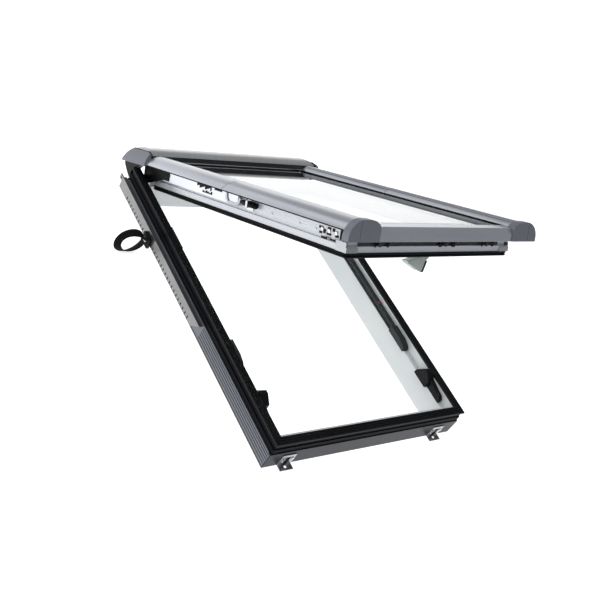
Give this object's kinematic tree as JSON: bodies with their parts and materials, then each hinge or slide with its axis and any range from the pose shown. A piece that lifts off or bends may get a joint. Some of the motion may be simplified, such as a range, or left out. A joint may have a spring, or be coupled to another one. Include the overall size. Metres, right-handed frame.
{
  "type": "roof skylight",
  "caption": "Rectangular roof window with a white frame and dark covers, its glazed sash standing open on a top hinge, with side channels, straps, locking gear and a lever handle.",
  "frame": {"origin": "centre of the four batten bracket holes, in the plane the bracket feet bear on", "axes": "+X along the top hinge, to the right seen from the room's foot end; +Y up the roof slope; +Z out of the roof"},
  "size_m": [0.7078, 0.8593, 0.534],
  "materials": {
    "white_pvc": "smooth satin white window profile",
    "dark_plastic": "dark extruded surround",
    "titanium_grey_sheet": "smooth powder coat, metallic grey",
    "black_rubber": "ribbed sealing profile",
    "galvanised_sheet": "bright zinc sheet",
    "bright_steel": "bright zinc",
    "black_plastic": "moulded black",
    "red_plastic": "small moulded ring",
    "webbing": "woven black strap",
    "glass": "clear pane with a faint green cast",
    "spacer_black": "black warm edge spacer"
  },
  "bodies": {
    "frame": {"frame_profile": "white_pvc", "dark_surround": "dark_plastic", "cover_left": "titanium_grey_sheet", "cover_right": "titanium_grey_sheet", "cover_bottom": "titanium_grey_sheet", "cover_top": "titanium_grey_sheet", "top_gasket": "black_rubber", "channel_left": "galvanised_sheet", "channel_right": "galvanised_sheet", "spring_left": "bright_steel", "spring_right": "bright_steel", "batten_brackets": "galvanised_sheet", "bracket_screws": "bright_steel", "hinge_bracket_left": "galvanised_sheet", "hinge_bracket_right": "galvanised_sheet", "hinge_pins": "bright_steel", "guide_rail_left": "black_plastic", "guide_rail_right": "black_plastic", "rail_marks": "red_plastic", "wedge_left": "black_plastic", "wedge_right": "black_plastic", "guide_blocks": "black_plastic", "striker_plates": "galvanised_sheet"},
    "adjuster_left": {"adjuster_block_left": "black_plastic", "adjuster_hook_left": "bright_steel", "strap_left": "webbing"},
    "adjuster_right": {"adjuster_block_right": "black_plastic", "adjuster_hook_right": "bright_steel", "strap_right": "webbing"},
    "arms": {"arm_left": "galvanised_sheet", "arm_right": "galvanised_sheet", "hinge_lever_left": "black_plastic", "hinge_lever_right": "black_plastic", "hood": "titanium_grey_sheet", "hood_cap_left": "titanium_grey_sheet", "hood_cap_right": "titanium_grey_sheet", "upper_cover_left": "titanium_grey_sheet", "upper_cover_right": "titanium_grey_sheet", "pivot_pins": "bright_steel"},
    "sash": {"sash_profile": "white_pvc", "sash_gasket": "black_rubber", "inner_pane": "glass", "outer_pane": "glass", "glass_spacer": "spacer_black", "glazing_seal": "black_rubber", "lower_cover_left": "titanium_grey_sheet", "lower_cover_right": "titanium_grey_sheet", "bottom_cover": "titanium_grey_sheet", "corner_cap_left": "titanium_grey_sheet", "corner_cap_right": "titanium_grey_sheet", "pivot_bearing_left": "galvanised_sheet", "pivot_bearing_right": "galvanised_sheet", "lock_case_left": "galvanised_sheet", "lock_case_right": "galvanised_sheet", "corner_angles": "galvanised_sheet", "rubber_blocks": "black_rubber", "handle_rose": "white_pvc"},
    "lock_bar": {"lock_bar": "galvanised_sheet"},
    "handle": {"handle_lever": "white_pvc"}
  },
  "joints": [
    {"name": "top_hinge", "type": "hinge", "parent": "frame", "child": "arms", "pos_m": [0, 0.368, 0.05], "axis": [-1, 0, 0], "range_deg": [-33.15, 11.85]},
    {"name": "centre_pivot", "type": "hinge", "parent": "arms", "child": "sash", "pos_m": [0, 0.09327, 0.3005], "axis": [-1, 0, 0], "range_deg": [0, 85]},
    {"name": "handle_turn", "type": "hinge", "parent": "sash", "child": "handle", "pos_m": [0.022, -0.20214, 0.42059], "axis": [0, -0.5468, -0.8372], "range_deg": [0, 90]},
    {"name": "lock_slide", "type": "slide", "parent": "sash", "child": "lock_bar", "axis": [1, 0, 0], "range_m": [0, 0.0181]},
    {"name": "adjuster_slide_left", "type": "slide", "parent": "frame", "child": "adjuster_left", "axis": [0, 1, 0], "range_m": [-0.15, 0.1]},
    {"name": "adjuster_slide_right", "type": "slide", "parent": "frame", "child": "adjuster_right", "axis": [0, 1, 0], "range_m": [-0.15, 0.1]}
  ],
  "couplings": [
    {"joint": "lock_slide", "follows": "handle_turn", "m_per_rad": 0.011459}
  ]
}
